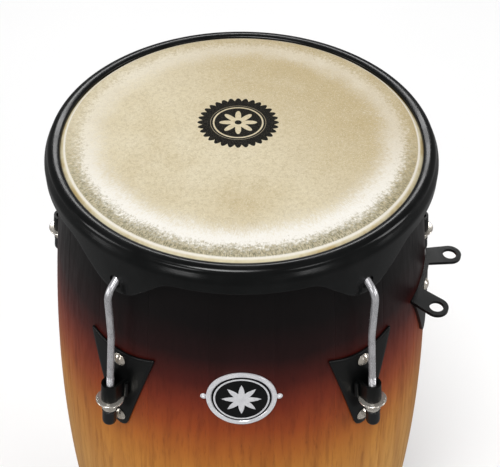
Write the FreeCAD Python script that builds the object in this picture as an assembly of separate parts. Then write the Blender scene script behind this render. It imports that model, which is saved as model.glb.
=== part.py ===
import FreeCAD, Part
import math
import os

# A single-headed conga drum: a barrel of wooden staves, a rawhide head pulled down by a steel
# counterhoop, five lugs with J-hook tuning rods, a two-eared stand bracket and a round badge.
# Millimetres, +Z up. The origin is the centre of the foot, on the floor. The badge faces -Y.
# Every lug is drawn facing +X and then turned to its azimuth. Azimuth 0 is -Y and 90 is +X.

V = FreeCAD.Vector
UP = V(0, 0, 1)
ORIGIN = V(0, 0, 0)

# Driving dimensions
HEAD_Z = 711.0              # top of the head above the floor, 28 in
BELLY_R = 171.8             # widest outside radius of the shell
BELLY_Z = 371.0             # height of the belly
UPPER_ARC_R = 1746.0        # side radius of the shell above the belly
LOWER_ARC_R = 1305.0        # side radius of the shell below the belly
WALL = 11.0                 # stave thickness
STAVE_COUNT = 20
STAVE_ANGLE = 360.0 / STAVE_COUNT
LUG_COUNT = 5
LUG_PITCH = 360.0 / LUG_COUNT
FIRST_LUG_AZ = 36.0
BRACKET_AZ = 72.0
BADGE_AZ = 0.0
TOUCH_GAP = 0.1             # left between curved faces of one body that meet

# Head
SKIN_T = 1.2
BEARING_R = 135.6           # centre radius of the rounded bearing edge
BEARING_ROUND = 3.7
COLLAR_DEPTH = 12.5

# Counterhoop and flesh hoop
BEAD_R = 150.3
BEAD_DEPTH = 4.9
BEAD_TUBE_R = 4.8
LIP_R = 142.2
LIP_DEPTHS = (1.0, 2.1, 3.2)  # top, nose and underside of the lip
LIP_NOSE = 0.6                # how far the nose stands in from the lip
CROWN = (145.6, 0.1)          # radius and depth of the highest point of the roll
BROW = ((149.2, 0.6), (151.0, 1.9), (151.9, 4.2))  # the roll's outer turn
SHOULDER_DEPTH = 9.6          # where the flare below the roll meets the skirt
SKIRT_R = 154.6
SKIRT_T = 2.0
SKIRT_DEPTH = 20.0
TAB_DEPTH = 48.0
TAB_HALF_WIDTH = 42.0
TAB_SLOPE = 0.89
TAB_FILLET_R = 22.0
HOOP_R = 147.2
HOOP_DEPTH = 12.8
HOOP_WIRE_R = 2.6
WRAP_OUTER_R = 3.4
WRAP_SLIT = 235.0           # direction that the wrap's slit faces, in its section, degrees
WRAP_OPENING = 70.0         # half angle of the slit along the wrap, degrees

# Tuning rods
ROD_R = 2.78                # 7/32 in rod
HOOK_TIP = (148.3, 33.2)    # radius and depth below the head of the hook's end
HOOK_CORNER = (163.7, 42.9)
HOOK_BEND_R = 13.0
ROD_CORNER_DEPTH = 86.6
ROD_BEND_R = 60.0
ROD_LEAN = 0.155            # outward run of the rod's lower half per mm of drop
ROD_AXIS_AT = (172.4, 133.0)
TAB_HOLE_R = 4.9
HOLE_REACH = 24.0            # length of the drill that makes a tab's hole

# Lug, measured along the rod's lower axis from the strap's middle
STRAP_DEPTH = 142.5
STRAP_LENGTH = 16.0
STRAP_OUTER_R = 7.0
STRAP_T = 2.0
RIB_R = 2.1
MOVING_GAP = 0.3
WASHER_R = 11.0
WASHER_T = 2.2
WASHER_BORE_R = 3.3
NUT_FLATS = 11.1
NUT_HEIGHT = 9.0
NUT_BORE_R = 2.84
CAP_R = 6.0
CAP_LENGTH = 16.0
CAP_WALL_END = 5.5
CAP_GAP = 0.5

# Lug plate
PLATE_T = 2.2
PLATE_HALF_WIDTH = 31.2
PLATE_TOP_DEPTH = 104.5
PLATE_TIP_DEPTH = 196.0
PLATE_TIP_R = 7.5
PLATE_TOP_DIP = 6.0

# Screws
SCREW_DEPTHS = (118.7, 180.7)
SCREW_R = 3.0
SCREW_HOLE_R = 3.3
HEAD_R = 5.6
HEAD_H = 3.2
SLOT_W = 1.3
SLOT_DEEP = 1.7
SCREW_REACH = 20.5
INNER_WASHER_R = 8.0
INNER_WASHER_T = 1.5
INNER_NUT_FLATS = 10.0
INNER_NUT_H = 4.8
INNER_STANDOFF = 0.4

# Stand bracket
BRACKET_TOP_DEPTH = 108.0
BRACKET_TIP_DEPTH = 172.0
BRACKET_T = 2.8
BRACKET_TOP_DIP = 0.01
BRACKET_SCREW_DEPTHS = (118.0, 142.0)
EAR_HOLE_R = 5.75
EAR_END_R = 9.6
EAR_RADIUS = 174.0          # distance of the ear holes from the drum's axis, along the bracket
EAR_SPREAD = 31.5           # half the distance between the ear holes
EAR_ROOT = (31.0, 13.5)
LIP_REACH = 3.4

# Badge
BADGE_R = 26.8
BADGE_DEPTH = 129.0
BADGE_T = 1.8
BADGE_RIM_W = 3.8
BADGE_RECESS = 0.8
BADGE_TAB_R = 2.6
BADGE_TAB_T = 0.9
BADGE_PIN_SPREAD = 28.8
PIN_R = 0.9
PIN_HEAD_R = 1.7
PIN_SEAT = 1.05             # height of the underside of a pin's head above the shell
PIN_LENGTH = 8.0

# Bottom ring
RING_BASE_T = 3.0
RING_WALL_H = 14.0
RING_T = 2.6
RING_INNER_R = 106.0


def shell_radius(z, offset=0.0):
    """Outer radius of the shell at height z, moved out by offset along the surface normal."""
    side = UPPER_ARC_R if z > BELLY_Z else LOWER_ARC_R
    reach = math.sqrt((side + offset) ** 2 - (z - BELLY_Z) ** 2)
    return BELLY_R - side + reach


def at_depth(radius, depth):
    """A point of the XZ plane, at a radius and a depth below the top of the head."""
    return V(radius, 0, HEAD_Z - depth)


def lug_azimuths():
    return [FIRST_LUG_AZ + LUG_PITCH * k for k in range(LUG_COUNT)]


def turned(shape, azimuth):
    """A shape drawn facing +X, turned about the drum's axis to its azimuth."""
    copy = shape.copy()
    copy.rotate(ORIGIN, UP, azimuth - 90.0)
    return copy


def write(name, shape):
    shape.exportStep(os.path.join("parts", name + ".step"))


def face_of(edges):
    return Part.Face(Part.Wire(edges))


def line(a, b):
    return Part.LineSegment(a, b).toShape()


def arc(a, b, c):
    return Part.Arc(a, b, c).toShape()


def side_arc(z_start, z_end, offset):
    """The shell's outer side line between two heights on one side of the belly."""
    z_mid = (z_start + z_end) / 2.0
    return arc(*[V(shell_radius(z, offset), 0, z) for z in (z_start, z_mid, z_end)])


def spun(face, angle=360.0):
    """A face of the XZ plane revolved about Z, centred on +X."""
    solid = face.revolve(ORIGIN, UP, angle)
    solid.rotate(ORIGIN, UP, -angle / 2.0)
    return solid


def shell_band(offset_in, offset_out, z_low, z_high, angle):
    """The layer between two offsets of the shell's outer surface above the belly."""
    inner = side_arc(z_low, z_high, offset_in)
    outer = side_arc(z_low, z_high, offset_out)
    ends = [line(V(shell_radius(z, offset_in), 0, z), V(shell_radius(z, offset_out), 0, z))
            for z in (z_low, z_high)]
    return spun(face_of([inner, ends[1], outer, ends[0]]), angle)


def shell_core(offset, z_low, z_high):
    """Everything inside an offset of the shell's outer surface above the belly."""
    top = V(shell_radius(z_high, offset), 0, z_high)
    bottom = V(shell_radius(z_low, offset), 0, z_low)
    axis_top = V(0, 0, z_high)
    axis_bottom = V(0, 0, z_low)
    edges = [side_arc(z_low, z_high, offset), line(top, axis_top)]
    edges += [line(axis_top, axis_bottom), line(axis_bottom, bottom)]
    return spun(face_of(edges))


def rounded_edges(points, radii, closed):
    """Straight edges through the points, with a tangent arc of the given radius at each corner."""
    count = len(points)
    corners = range(count) if closed else range(1, count - 1)
    starts = {}
    ends = {}
    arcs = {}
    for i in range(count):
        starts[i] = points[i]
        ends[i] = points[i]
    for i in corners:
        if radii[i] <= 0:
            continue
        before = (points[i - 1] - points[i]).normalize()
        after = (points[(i + 1) % count] - points[i]).normalize()
        half = before.getAngle(after) / 2.0
        cut = radii[i] / math.tan(half)
        middle = (before + after).normalize()
        centre = points[i] + middle * (radii[i] / math.sin(half))
        ends[i] = points[i] + before * cut
        starts[i] = points[i] + after * cut
        arcs[i] = arc(ends[i], centre - middle * radii[i], starts[i])
    edges = []
    for i in range(count if closed else count - 1):
        if i in arcs:
            edges.append(arcs[i])
        edges.append(line(starts[i], ends[(i + 1) % count]))
    return edges


def radial_prism(edges):
    """An outline drawn in the YZ plane, pushed outwards through the shell wall and past it."""
    return face_of(edges).extrude(V(2.0 * BELLY_R, 0, 0))


def surface_normal(z):
    tilt = math.asin((z - BELLY_Z) / UPPER_ARC_R)
    return V(math.cos(tilt), 0, math.sin(tilt))


def surface_point(z, offset):
    """The point on the shell's outer side line whose foot has height z, moved out by offset."""
    return V(shell_radius(z), 0, z) + surface_normal(z) * offset


def cylinder(radius, start, direction, length):
    return Part.makeCylinder(radius, length, start, direction)


def hex_prism(flats, start, direction, length):
    reach = flats / math.sqrt(3.0)
    corners = [V(reach * math.cos(math.radians(60 * k)), reach * math.sin(math.radians(60 * k)), 0)
               for k in range(6)]
    prism = Part.Face(Part.makePolygon(corners + corners[:1])).extrude(V(0, 0, length))
    prism.Placement = FreeCAD.Placement(start, FreeCAD.Rotation(UP, direction))
    return prism


def rod_axis():
    """The unit direction of the rod's lower half, pointing down and outwards."""
    return V(ROD_LEAN, 0, -1).normalize()


def rod_axis_point(depth):
    radius = ROD_AXIS_AT[0] + ROD_LEAN * (depth - ROD_AXIS_AT[1])
    return at_depth(radius, depth)


# Shell

def stave_profile():
    crown_top = SKIN_T + TOUCH_GAP
    crown_centre = crown_top + BEARING_ROUND
    outer_top_z = HEAD_Z - crown_centre
    round_r = shell_radius(outer_top_z) - BEARING_R
    top = V(BEARING_R, 0, outer_top_z + round_r)
    outer_top = V(BEARING_R + round_r, 0, outer_top_z)
    diagonal = round_r * math.sqrt(0.5)
    mid = V(BEARING_R + diagonal, 0, outer_top_z + diagonal)
    inner_top_z = HEAD_Z - COLLAR_DEPTH
    inner_top = V(shell_radius(inner_top_z, -WALL), 0, inner_top_z)
    crown_inner = V(BEARING_R - round_r * 0.8, 0, outer_top_z + round_r * 0.6)
    crown_shoulder = V(BEARING_R - round_r * 0.45, 0, outer_top_z + round_r * 0.893)
    base_out = V(shell_radius(RING_BASE_T), 0, RING_BASE_T)
    base_in = V(shell_radius(RING_BASE_T, -WALL), 0, RING_BASE_T)
    return face_of([
        line(base_in, base_out),
        side_arc(RING_BASE_T, BELLY_Z, 0),
        side_arc(BELLY_Z, outer_top_z, 0),
        arc(outer_top, mid, top),
        arc(top, crown_shoulder, crown_inner),
        line(crown_inner, inner_top),
        side_arc(inner_top_z, BELLY_Z, -WALL),
        side_arc(BELLY_Z, RING_BASE_T, -WALL),
    ])


def through_hole(radius, depth, azimuth):
    z = HEAD_Z - depth
    start = surface_point(z, -2.0 * WALL)
    return turned(cylinder(radius, start, surface_normal(z), 3.0 * WALL), azimuth)


def shell_holes():
    holes = [through_hole(SCREW_HOLE_R, depth, az) for az in lug_azimuths() for depth in SCREW_DEPTHS]
    holes += [through_hole(SCREW_HOLE_R, depth, BRACKET_AZ) for depth in BRACKET_SCREW_DEPTHS]
    holes += [pin.copy() for pin in badge_pin_shanks(PIN_R + TOUCH_GAP)]
    return Part.Compound(holes)


def shell_staves():
    holes = shell_holes()
    stave = spun(stave_profile(), STAVE_ANGLE)
    staves = [turned(stave, STAVE_ANGLE * k).cut(holes) for k in range(STAVE_COUNT)]
    return Part.Compound([solid for part in staves for solid in part.Solids])


def bottom_ring():
    base_r = shell_radius(0.0, RING_T)
    inner_low = V(shell_radius(RING_BASE_T, TOUCH_GAP), 0, RING_BASE_T)
    inner_high = V(shell_radius(RING_WALL_H, TOUCH_GAP), 0, RING_WALL_H)
    outer_high = V(shell_radius(RING_WALL_H, RING_T), 0, RING_WALL_H)
    outer_low = V(base_r, 0, 0)
    heel = V(RING_INNER_R, 0, 0)
    heel_top = V(RING_INNER_R, 0, RING_BASE_T)
    return spun(face_of([
        line(heel, outer_low),
        side_arc(0.0, RING_WALL_H, RING_T),
        line(outer_high, inner_high),
        side_arc(RING_WALL_H, RING_BASE_T, TOUCH_GAP),
        line(inner_low, heel_top),
        line(heel_top, heel),
    ]))


# Head and counterhoop

def drum_skin():
    centre_z = HEAD_Z - SKIN_T - TOUCH_GAP - BEARING_ROUND
    low_z = HEAD_Z - COLLAR_DEPTH
    inner_off = TOUCH_GAP + 0.05
    outer_off = inner_off + SKIN_T
    diagonal = math.sqrt(0.5)
    layers = {}
    for key, offset in (("in", inner_off), ("out", outer_off)):
        side_r = shell_radius(centre_z, offset)
        rise = side_r - BEARING_R
        height = HEAD_Z if key == "out" else HEAD_Z - SKIN_T
        lift = height - centre_z
        side = V(side_r, 0, centre_z)
        mid = V(BEARING_R + rise * diagonal, 0, centre_z + lift * diagonal)
        top = V(BEARING_R, 0, height)
        low = V(shell_radius(low_z, offset), 0, low_z)
        layers[key] = (side, mid, top, low)
    side_in, mid_in, top_in, low_in = layers["in"]
    side_out, mid_out, top_out, low_out = layers["out"]
    axis_top = V(0, 0, HEAD_Z)
    axis_low = V(0, 0, HEAD_Z - SKIN_T)
    return spun(face_of([
        line(axis_low, axis_top),
        line(axis_top, top_out),
        arc(top_out, mid_out, side_out),
        side_arc(centre_z, low_z, outer_off),
        line(low_out, low_in),
        side_arc(low_z, centre_z, inner_off),
        arc(side_in, mid_in, top_in),
        line(top_in, axis_low),
    ]))


def on_bead(angle):
    turn = math.radians(angle)
    return at_depth(BEAD_R + BEAD_TUBE_R * math.cos(turn), BEAD_DEPTH - BEAD_TUBE_R * math.sin(turn))


def hoop_profile():
    """The counterhoop's section: a flat-topped roll with a lip over the collar, a flare and a skirt."""
    skirt_in_r = SKIRT_R - SKIRT_T
    under = (-math.degrees(math.acos((skirt_in_r - BEAD_R) / BEAD_TUBE_R)), -108.0, -141.0)
    lip_top = at_depth(LIP_R, LIP_DEPTHS[0])
    lip_nose = at_depth(LIP_R - LIP_NOSE, LIP_DEPTHS[1])
    lip_low = at_depth(LIP_R, LIP_DEPTHS[2])
    brow = [at_depth(*p) for p in BROW]
    shoulder = at_depth(SKIRT_R, SHOULDER_DEPTH)
    skirt_out = at_depth(SKIRT_R, TAB_DEPTH + 1.0)
    skirt_in = at_depth(skirt_in_r, TAB_DEPTH + 1.0)
    return face_of([
        arc(lip_top, at_depth(*CROWN), brow[0]),
        arc(*brow),
        line(brow[2], shoulder),
        line(shoulder, skirt_out),
        line(skirt_out, skirt_in),
        line(skirt_in, on_bead(under[0])),
        arc(*[on_bead(a) for a in under]),
        line(on_bead(under[2]), lip_low),
        arc(lip_low, lip_nose, lip_top),
    ])


def tab_outline():
    """One lug's tab, drawn in the YZ plane: the skirt's level edge dips to a rounded point."""
    apex = SKIRT_DEPTH + TAB_HALF_WIDTH * TAB_SLOPE
    half_angle = math.atan(1.0 / TAB_SLOPE)
    tip_r = (apex - TAB_DEPTH) / (1.0 / math.sin(half_angle) - 1.0)
    beyond = TAB_HALF_WIDTH * 1.35
    top = SKIRT_DEPTH - 6.0
    points = [(-beyond, top), (-beyond, SKIRT_DEPTH), (-TAB_HALF_WIDTH, SKIRT_DEPTH), (0, apex)]
    points += [(TAB_HALF_WIDTH, SKIRT_DEPTH), (beyond, SKIRT_DEPTH), (beyond, top)]
    radii = [0, 0, TAB_FILLET_R, tip_r, TAB_FILLET_R, 0, 0]
    corners = [V(0, y, HEAD_Z - depth) for y, depth in points]
    return rounded_edges(corners, radii, True)


def hook_direction():
    run = HOOK_CORNER[0] - HOOK_TIP[0]
    drop = HOOK_CORNER[1] - HOOK_TIP[1]
    return V(run, 0, -drop).normalize()


def counterhoop():
    hoop = spun(hoop_profile())
    low = HEAD_Z - TAB_DEPTH - 5.0
    ring_h = TAB_DEPTH + 5.0 - SKIRT_DEPTH
    outer = Part.makeCylinder(SKIRT_R + 5.0, ring_h, V(0, 0, low))
    waste = outer.cut(Part.makeCylinder(SKIRT_R - SKIRT_T - 3.0, ring_h, V(0, 0, low)))
    tab = radial_prism(tab_outline())
    waste = waste.cut(Part.Compound([turned(tab, az) for az in lug_azimuths()]))
    direction = hook_direction()
    start = at_depth(*HOOK_TIP) - direction * (HOLE_REACH / 3.0)
    hole = cylinder(TAB_HOLE_R, start, direction, HOLE_REACH)
    holes = Part.Compound([turned(hole, az) for az in lug_azimuths()])
    return hoop.cut(waste).cut(holes)


def flesh_hoop():
    return Part.makeTorus(HOOP_R, HOOP_WIRE_R, V(0, 0, HEAD_Z - HOOP_DEPTH))


def hoop_wrap():
    """Rawhide lapped round the flesh hoop, open along a slit that faces down and in."""
    inner_r = HOOP_WIRE_R + TOUCH_GAP / 2.0

    def ring_point(radius, angle):
        turn = math.radians(angle)
        return at_depth(HOOP_R + radius * math.cos(turn), HOOP_DEPTH - radius * math.sin(turn))

    first = WRAP_SLIT + WRAP_OPENING - 360.0
    last = WRAP_SLIT - WRAP_OPENING
    middle = (first + last) / 2.0
    outer = [ring_point(WRAP_OUTER_R, a) for a in (first, middle, last)]
    inner = [ring_point(inner_r, a) for a in (first, middle, last)]
    return spun(face_of([
        arc(*outer), line(outer[2], inner[2]), arc(inner[2], inner[1], inner[0]),
        line(inner[0], outer[0])]))


# Tuning hardware, drawn facing +X

def tuning_hook():
    end = rod_axis_point(cap_start_depth() + (CAP_LENGTH - CAP_WALL_END) * -rod_axis().z)
    corner = rod_axis_point(ROD_CORNER_DEPTH)
    points = [at_depth(*HOOK_TIP), at_depth(*HOOK_CORNER), corner, end]
    path = Part.Wire(rounded_edges(points, [0, HOOK_BEND_R, ROD_BEND_R, 0], False))
    circle = Part.Wire(Part.makeCircle(ROD_R, points[0], hook_direction()))
    return path.makePipeShell([circle], True, False)


def strap_end(side):
    """The strap's top (-1) or bottom (+1) end, on the rod's lower axis."""
    return rod_axis_point(STRAP_DEPTH) + rod_axis() * (side * STRAP_LENGTH / 2.0)


def washer_start():
    return strap_end(1) + rod_axis() * MOVING_GAP


def nut_start():
    return washer_start() + rod_axis() * (WASHER_T + 0.05)


def cap_start():
    return nut_start() + rod_axis() * (NUT_HEIGHT + CAP_GAP)


def cap_start_depth():
    return HEAD_Z - cap_start().z


def rod_cap():
    axis = rod_axis()
    body = cylinder(CAP_R, cap_start(), axis, CAP_LENGTH)
    rims = [edge for edge in body.Edges if edge.Closed]
    tip_z = cap_start().z + axis.z * CAP_LENGTH
    lowest = min(rims, key=lambda edge: abs(edge.CenterOfMass.z - tip_z))
    body = body.makeFillet(CAP_R * 0.8, [lowest])
    return body.cut(cylinder(ROD_R, cap_start(), axis, CAP_LENGTH - CAP_WALL_END))


def nut_washer():
    disc = cylinder(WASHER_R, washer_start(), rod_axis(), WASHER_T)
    disc = disc.makeFillet(0.6, [edge for edge in disc.Edges if edge.Closed])
    return disc.cut(cylinder(WASHER_BORE_R, washer_start(), rod_axis(), WASHER_T))


def tuning_nut():
    prism = hex_prism(NUT_FLATS, nut_start(), rod_axis(), NUT_HEIGHT)
    reach = NUT_FLATS / math.sqrt(3.0)
    cone_h = reach * 3.0
    tip = nut_start() + rod_axis() * (NUT_HEIGHT + 1.0)
    chamfer = Part.makeCone(reach - 1.2 + cone_h, reach - 1.2, cone_h, tip - rod_axis() * cone_h, rod_axis())
    return prism.common(chamfer).cut(cylinder(NUT_BORE_R, nut_start(), rod_axis(), NUT_HEIGHT))


def placed_on_rod(shape, start):
    """A shape drawn along +Z with +X outwards, moved so that +Z runs down the rod's lower axis."""
    axis = rod_axis()
    outward = V(-axis.z, 0, axis.x)
    side = axis.cross(outward)
    matrix = FreeCAD.Matrix(outward.x, side.x, axis.x, start.x, outward.y, side.y, axis.y, start.y,
                            outward.z, side.z, axis.z, start.z, 0, 0, 0, 1)
    shape.Placement = FreeCAD.Placement(matrix)
    return shape


def strap_blank(radius, length):
    """A half-round nose of the given radius on the axis, with straight walls back to the plate."""
    back = 4.0 * STRAP_OUTER_R
    nose = arc(V(0, -radius, 0), V(radius, 0, 0), V(0, radius, 0))
    walls = [line(V(0, radius, 0), V(-back, radius, 0)), line(V(-back, radius, 0), V(-back, -radius, 0)),
             line(V(-back, -radius, 0), V(0, -radius, 0))]
    return face_of([nose] + walls).extrude(V(0, 0, length))


def lug_strap():
    start = strap_end(-1)
    outer = strap_blank(STRAP_OUTER_R, STRAP_LENGTH)
    plate_face = shell_radius(HEAD_Z - STRAP_DEPTH, TOUCH_GAP + PLATE_T)
    rib_x = plate_face - rod_axis_point(STRAP_DEPTH).x + RIB_R
    for side in (-1, 1):
        centre = V(rib_x, side * (STRAP_OUTER_R + RIB_R * 0.7), 1.0)
        outer = outer.fuse(Part.makeCylinder(RIB_R, STRAP_LENGTH - 2.0, centre))
    inner = strap_blank(STRAP_OUTER_R - STRAP_T, STRAP_LENGTH)
    strap = placed_on_rod(outer.cut(inner), start)
    middle = HEAD_Z - STRAP_DEPTH
    core = shell_core(2.0 * TOUCH_GAP + PLATE_T, middle - 2.0 * STRAP_LENGTH, middle + 2.0 * STRAP_LENGTH)
    return strap.cut(core)


def shield_outline(top_depth, tip_depth, tip_r, dip):
    """A shield in the YZ plane: a hollow top edge, straight sides and a rounded point."""
    slope = (tip_depth - top_depth) / PLATE_HALF_WIDTH
    half_angle = math.atan(1.0 / slope)
    apex = tip_depth + tip_r * (1.0 / math.sin(half_angle) - 1.0)
    left = V(0, -PLATE_HALF_WIDTH, HEAD_Z - top_depth)
    right = V(0, PLATE_HALF_WIDTH, HEAD_Z - top_depth)
    point = V(0, 0, HEAD_Z - apex)
    sides = rounded_edges([left, point, right], [0, tip_r, 0], False)
    hollow = arc(right, V(0, 0, HEAD_Z - top_depth - dip), left)
    return sides + [hollow]


def shield_plate(top_depth, tip_depth, tip_r, dip, thickness, screw_depths):
    band = shell_band(TOUCH_GAP, TOUCH_GAP + thickness, HEAD_Z - tip_depth - 20.0,
                      HEAD_Z - top_depth + 20.0, 60.0)
    plate = radial_prism(shield_outline(top_depth, tip_depth, tip_r, dip)).common(band)
    for depth in screw_depths:
        z = HEAD_Z - depth
        plate = plate.cut(cylinder(SCREW_HOLE_R, surface_point(z, -5.0), surface_normal(z), 15.0))
    return plate


def lug_plate():
    return shield_plate(PLATE_TOP_DEPTH, PLATE_TIP_DEPTH, PLATE_TIP_R, PLATE_TOP_DIP, PLATE_T, SCREW_DEPTHS)


# Screws, washers and nuts that hold the plates, drawn facing +X

def slotted_screw(depth, thickness):
    z = HEAD_Z - depth
    normal = surface_normal(z)
    seat = surface_point(z, thickness + 2.0 * TOUCH_GAP)
    dome_r = (HEAD_R ** 2 + HEAD_H ** 2) / (2.0 * HEAD_H)
    ball = Part.makeSphere(dome_r, seat + normal * (HEAD_H - dome_r))
    head = ball.common(cylinder(HEAD_R + 1.0, seat, normal, HEAD_H + 1.0))
    slot = Part.makeBox(HEAD_H, SLOT_W, 4.0 * HEAD_R, V(0, -SLOT_W / 2.0, -2.0 * HEAD_R))
    slot_seat = seat + normal * (HEAD_H - SLOT_DEEP)
    slot.Placement = FreeCAD.Placement(slot_seat, FreeCAD.Rotation(V(1, 0, 0), normal))
    shank = cylinder(SCREW_R, seat - normal * SCREW_REACH, normal, SCREW_REACH)
    return head.cut(slot).fuse(shank)


def inner_washer(depth):
    z = HEAD_Z - depth
    normal = surface_normal(z)
    start = surface_point(z, -WALL - INNER_STANDOFF - INNER_WASHER_T)
    disc = cylinder(INNER_WASHER_R, start, normal, INNER_WASHER_T)
    return disc.cut(cylinder(SCREW_HOLE_R, start, normal, INNER_WASHER_T))


def inner_nut(depth):
    z = HEAD_Z - depth
    normal = surface_normal(z)
    start = surface_point(z, -WALL - INNER_STANDOFF - INNER_WASHER_T - INNER_NUT_H - 0.05)
    prism = hex_prism(INNER_NUT_FLATS, start, normal, INNER_NUT_H)
    return prism.cut(cylinder(SCREW_R + 0.05, start, normal, INNER_NUT_H))


def around_lugs(make):
    """One piece for each screw place of each lug, as a group of separate solids."""
    return Part.Compound([turned(make(depth), az) for az in lug_azimuths() for depth in SCREW_DEPTHS])


def on_bracket(make):
    return Part.Compound([turned(make(depth), BRACKET_AZ) for depth in BRACKET_SCREW_DEPTHS])


# Stand bracket, drawn facing +X

def tangent_point(start, centre, radius, side):
    """Where the line from start touches the circle, on its left (+1) or right (-1)."""
    to_centre = centre - start
    distance = to_centre.Length
    swing = side * math.acos(radius / distance)
    back = (start - centre).normalize() * radius
    turn = FreeCAD.Rotation(UP, math.degrees(swing))
    return centre + turn.multVec(back)


def bracket_ear(side):
    z = HEAD_Z - BRACKET_TOP_DEPTH - BRACKET_T
    root_r = shell_radius(z) - 6.0
    centre = V(EAR_RADIUS, side * EAR_SPREAD, z)
    outer_root = V(root_r, side * EAR_ROOT[0], z)
    inner_root = V(root_r + 4.0, side * EAR_ROOT[1], z)
    outer_touch = tangent_point(outer_root, centre, EAR_END_R, -side)
    inner_touch = tangent_point(inner_root, centre, EAR_END_R, side)
    away = ((centre - outer_root).normalize() + (centre - inner_root).normalize()).normalize()
    outline = [line(outer_root, outer_touch), arc(outer_touch, centre + away * EAR_END_R, inner_touch)]
    outline += [line(inner_touch, inner_root), line(inner_root, outer_root)]
    return face_of(outline).extrude(V(0, 0, BRACKET_T))


def bracket_lip():
    """The narrow turned edge that joins the two ears along the top of the plate."""
    z = HEAD_Z - BRACKET_TOP_DEPTH - BRACKET_T
    outer = Part.makeCylinder(shell_radius(z) + LIP_REACH, BRACKET_T, V(0, 0, z))
    window = Part.makeBox(BELLY_R, 2.0 * EAR_ROOT[0], BRACKET_T, V(0, -EAR_ROOT[0], z))
    return outer.common(window)


def stand_bracket():
    plate = shield_plate(BRACKET_TOP_DEPTH, BRACKET_TIP_DEPTH, PLATE_TIP_R, BRACKET_TOP_DIP, PLATE_T,
                         BRACKET_SCREW_DEPTHS)
    z = HEAD_Z - BRACKET_TOP_DEPTH
    top = bracket_lip().fuse([bracket_ear(-1), bracket_ear(1)])
    top = top.cut(shell_core(TOUCH_GAP, z - 20.0, z + 20.0))
    bracket = plate.fuse(top).removeSplitter()
    for side in (-1, 1):
        hole_start = V(EAR_RADIUS, side * EAR_SPREAD, z - 2.0 * BRACKET_T)
        bracket = bracket.cut(cylinder(EAR_HOLE_R, hole_start, UP, 3.0 * BRACKET_T))
    return bracket


# Badge, drawn facing +X

def badge_prism(radius):
    z = HEAD_Z - BADGE_DEPTH
    return cylinder(radius, surface_point(z, -WALL), surface_normal(z), 4.0 * WALL)


def badge_band(low, high):
    z = HEAD_Z - BADGE_DEPTH
    return shell_band(low, high, z - 2.0 * BADGE_R, z + 2.0 * BADGE_R, 60.0)


def badge_pin_frame(side):
    """The seat and outward direction of a badge pin, on the shell beside the badge."""
    z = HEAD_Z - BADGE_DEPTH
    turn = side * math.degrees(BADGE_PIN_SPREAD / shell_radius(z))
    spin = FreeCAD.Rotation(UP, turn)
    return spin.multVec(surface_point(z, 0.0)), spin.multVec(surface_normal(z))


def badge_pin_shanks(radius):
    shanks = []
    for side in (-1, 1):
        seat, normal = badge_pin_frame(side)
        shank = cylinder(radius, seat - normal * PIN_LENGTH, normal, 2.0 * PIN_LENGTH)
        shanks.append(turned(shank, BADGE_AZ))
    return shanks


def badge_plate():
    disc = badge_prism(BADGE_R).common(badge_band(TOUCH_GAP, TOUCH_GAP + BADGE_T))
    well = badge_prism(BADGE_R - BADGE_RIM_W).common(badge_band(BADGE_T - BADGE_RECESS, 2.0 * BADGE_T))
    disc = disc.cut(well)
    tabs = []
    for side in (-1, 1):
        seat, normal = badge_pin_frame(side)
        tabs.append(cylinder(BADGE_TAB_R, seat - normal * 3.0, normal, 6.0))
    tabs = Part.Compound(tabs).common(badge_band(TOUCH_GAP, BADGE_TAB_T)).cut(badge_prism(BADGE_R - 1.0))
    plate = turned(disc.fuse(tabs.Solids), BADGE_AZ)
    return plate.cut(Part.Compound(badge_pin_shanks(PIN_R + TOUCH_GAP)))


def badge_inlay():
    low = BADGE_T - BADGE_RECESS + 0.05
    disc = badge_prism(BADGE_R - BADGE_RIM_W - 0.1).common(badge_band(low, low + 0.7))
    return turned(disc, BADGE_AZ)


def badge_pins():
    pins = []
    for side in (-1, 1):
        seat, normal = badge_pin_frame(side)
        under_head = seat + normal * PIN_SEAT
        shank = cylinder(PIN_R, under_head - normal * PIN_LENGTH, normal, PIN_LENGTH)
        head = Part.makeSphere(PIN_HEAD_R, under_head, normal, 0, 90, 360)
        pins.append(turned(shank.fuse(head), BADGE_AZ))
    return Part.Compound(pins)


def write_lug_set():
    """The moving and fixed pieces of each lug, one node per piece."""
    makers = {"lug_plate": lug_plate, "lug_strap": lug_strap, "tuning_hook": tuning_hook,
              "rod_cap": rod_cap, "nut_washer": nut_washer, "tuning_nut": tuning_nut}
    for name, make in makers.items():
        shape = make()
        for k, azimuth in enumerate(lug_azimuths()):
            write("%s_%d" % (name, k + 1), turned(shape, azimuth))


def main():
    os.makedirs("parts", exist_ok=True)
    write("shell_staves", shell_staves())
    write("bottom_ring", bottom_ring())
    write("drum_skin", drum_skin())
    write("counterhoop", counterhoop())
    write("flesh_hoop", flesh_hoop())
    write("hoop_wrap", hoop_wrap())
    write_lug_set()
    write("lug_screws", around_lugs(lambda depth: slotted_screw(depth, PLATE_T)))
    write("lug_inner_washers", around_lugs(inner_washer))
    write("lug_inner_nuts", around_lugs(inner_nut))
    write("stand_bracket", turned(stand_bracket(), BRACKET_AZ))
    write("bracket_screws", on_bracket(lambda depth: slotted_screw(depth, PLATE_T)))
    write("bracket_inner_washers", on_bracket(inner_washer))
    write("bracket_inner_nuts", on_bracket(inner_nut))
    write("badge_plate", badge_plate())
    write("badge_inlay", badge_inlay())
    write("badge_pins", badge_pins())


main()
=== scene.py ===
import math

import bmesh
import bpy
from mathutils import Matrix, Vector, noise


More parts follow.
